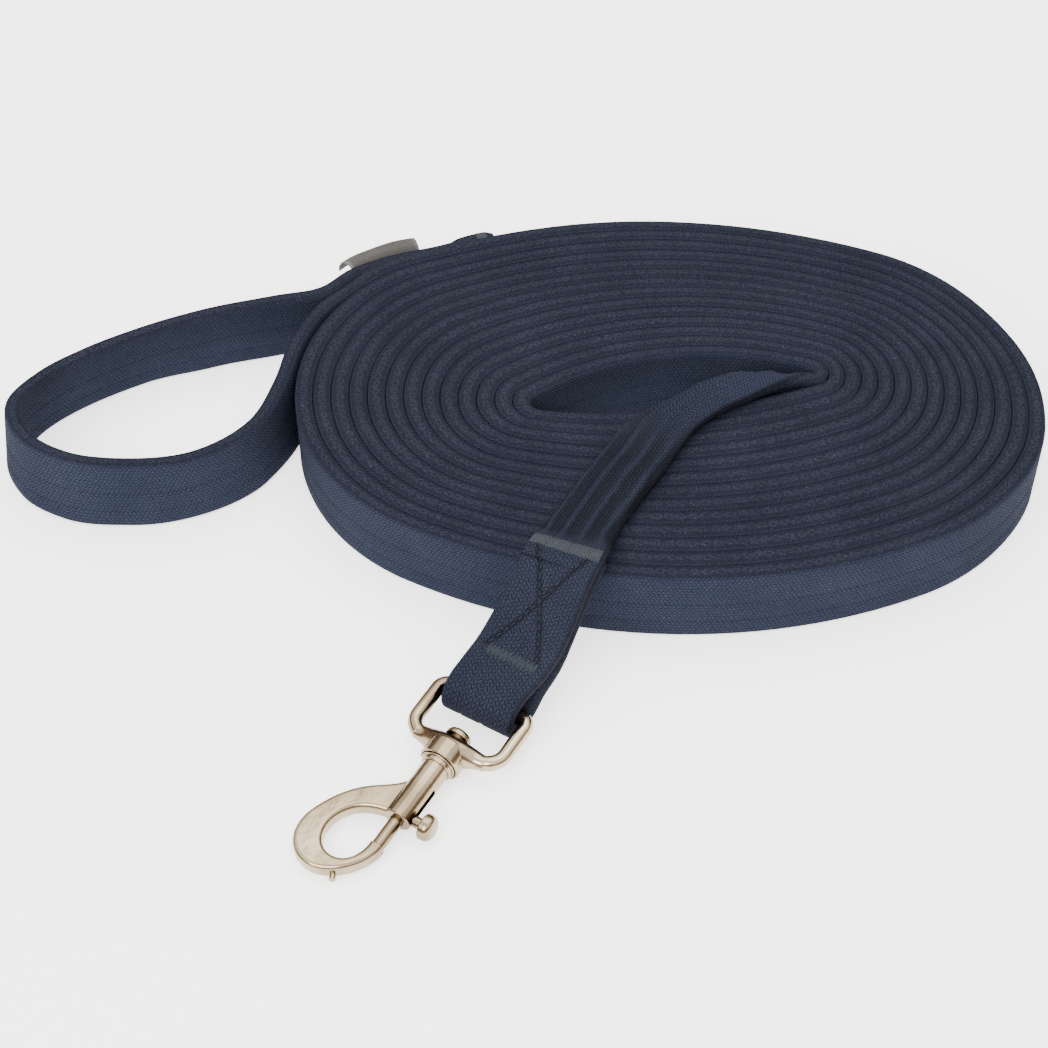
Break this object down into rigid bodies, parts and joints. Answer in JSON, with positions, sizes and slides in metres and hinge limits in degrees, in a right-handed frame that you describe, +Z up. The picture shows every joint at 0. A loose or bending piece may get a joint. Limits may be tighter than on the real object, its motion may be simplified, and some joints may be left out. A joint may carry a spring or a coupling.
{
  "type": "training leash",
  "caption": "Flat soft webbing training leash wound on edge in an oval coil, with a sewn hand loop and a swivel bolt snap.",
  "frame": {"origin": "centre of the whole outline, on the plane the leash lies on", "axes": "+X runs along the coil's long axis away from the hand loop, +Z points up from the plane the leash lies on, and the snap lies towards -Y"},
  "size_m": [0.3178, 0.2469, 0.0344],
  "materials": {
    "webbing": "matt woven",
    "thread": "matt stitched",
    "label": "matt ribbon",
    "nickel": "satin plated",
    "spring_steel": "drawn wire"
  },
  "bodies": {
    "webbing": {"webbing_coil": "webbing", "tail_on_edge": "webbing", "strap_over_slot": "webbing", "snap_strap": "webbing", "snap_strap_return": "webbing", "snap_strap_fold": "webbing", "snap_bartacks": "thread", "snap_cross_stitching": "thread", "handle_neck": "webbing", "handle_loop": "webbing", "handle_end_ply": "webbing", "handle_bartacks": "thread", "label_tab": "label"},
    "eye": {"swivel_eye": "nickel"},
    "hook": {"hook_casting": "nickel", "swivel_rivet": "nickel", "bolt_spring": "spring_steel"},
    "bolt": {"bolt_pin": "nickel", "thumb_knob": "nickel"}
  },
  "joints": [
    {"name": "eye_hinge", "type": "hinge", "parent": "webbing", "child": "eye", "pos_m": [-0.00992, -0.06853, 0.00785], "axis": [-0.8526, 0.5225, 0], "range_deg": [0, 100]},
    {"name": "hook_swivel", "type": "hinge", "parent": "eye", "child": "hook", "pos_m": [-0.02034, -0.08553, 0.00632], "axis": [-0.521, -0.8501, -0.0767], "continuous": true},
    {"name": "bolt_slide", "type": "slide", "parent": "hook", "child": "bolt", "axis": [0.521, 0.8501, 0.0767], "range_m": [0, 0.009], "stiffness_N_per_m": 400, "springref_m": -0.004, "deforming": ["bolt_spring"]}
  ]
}
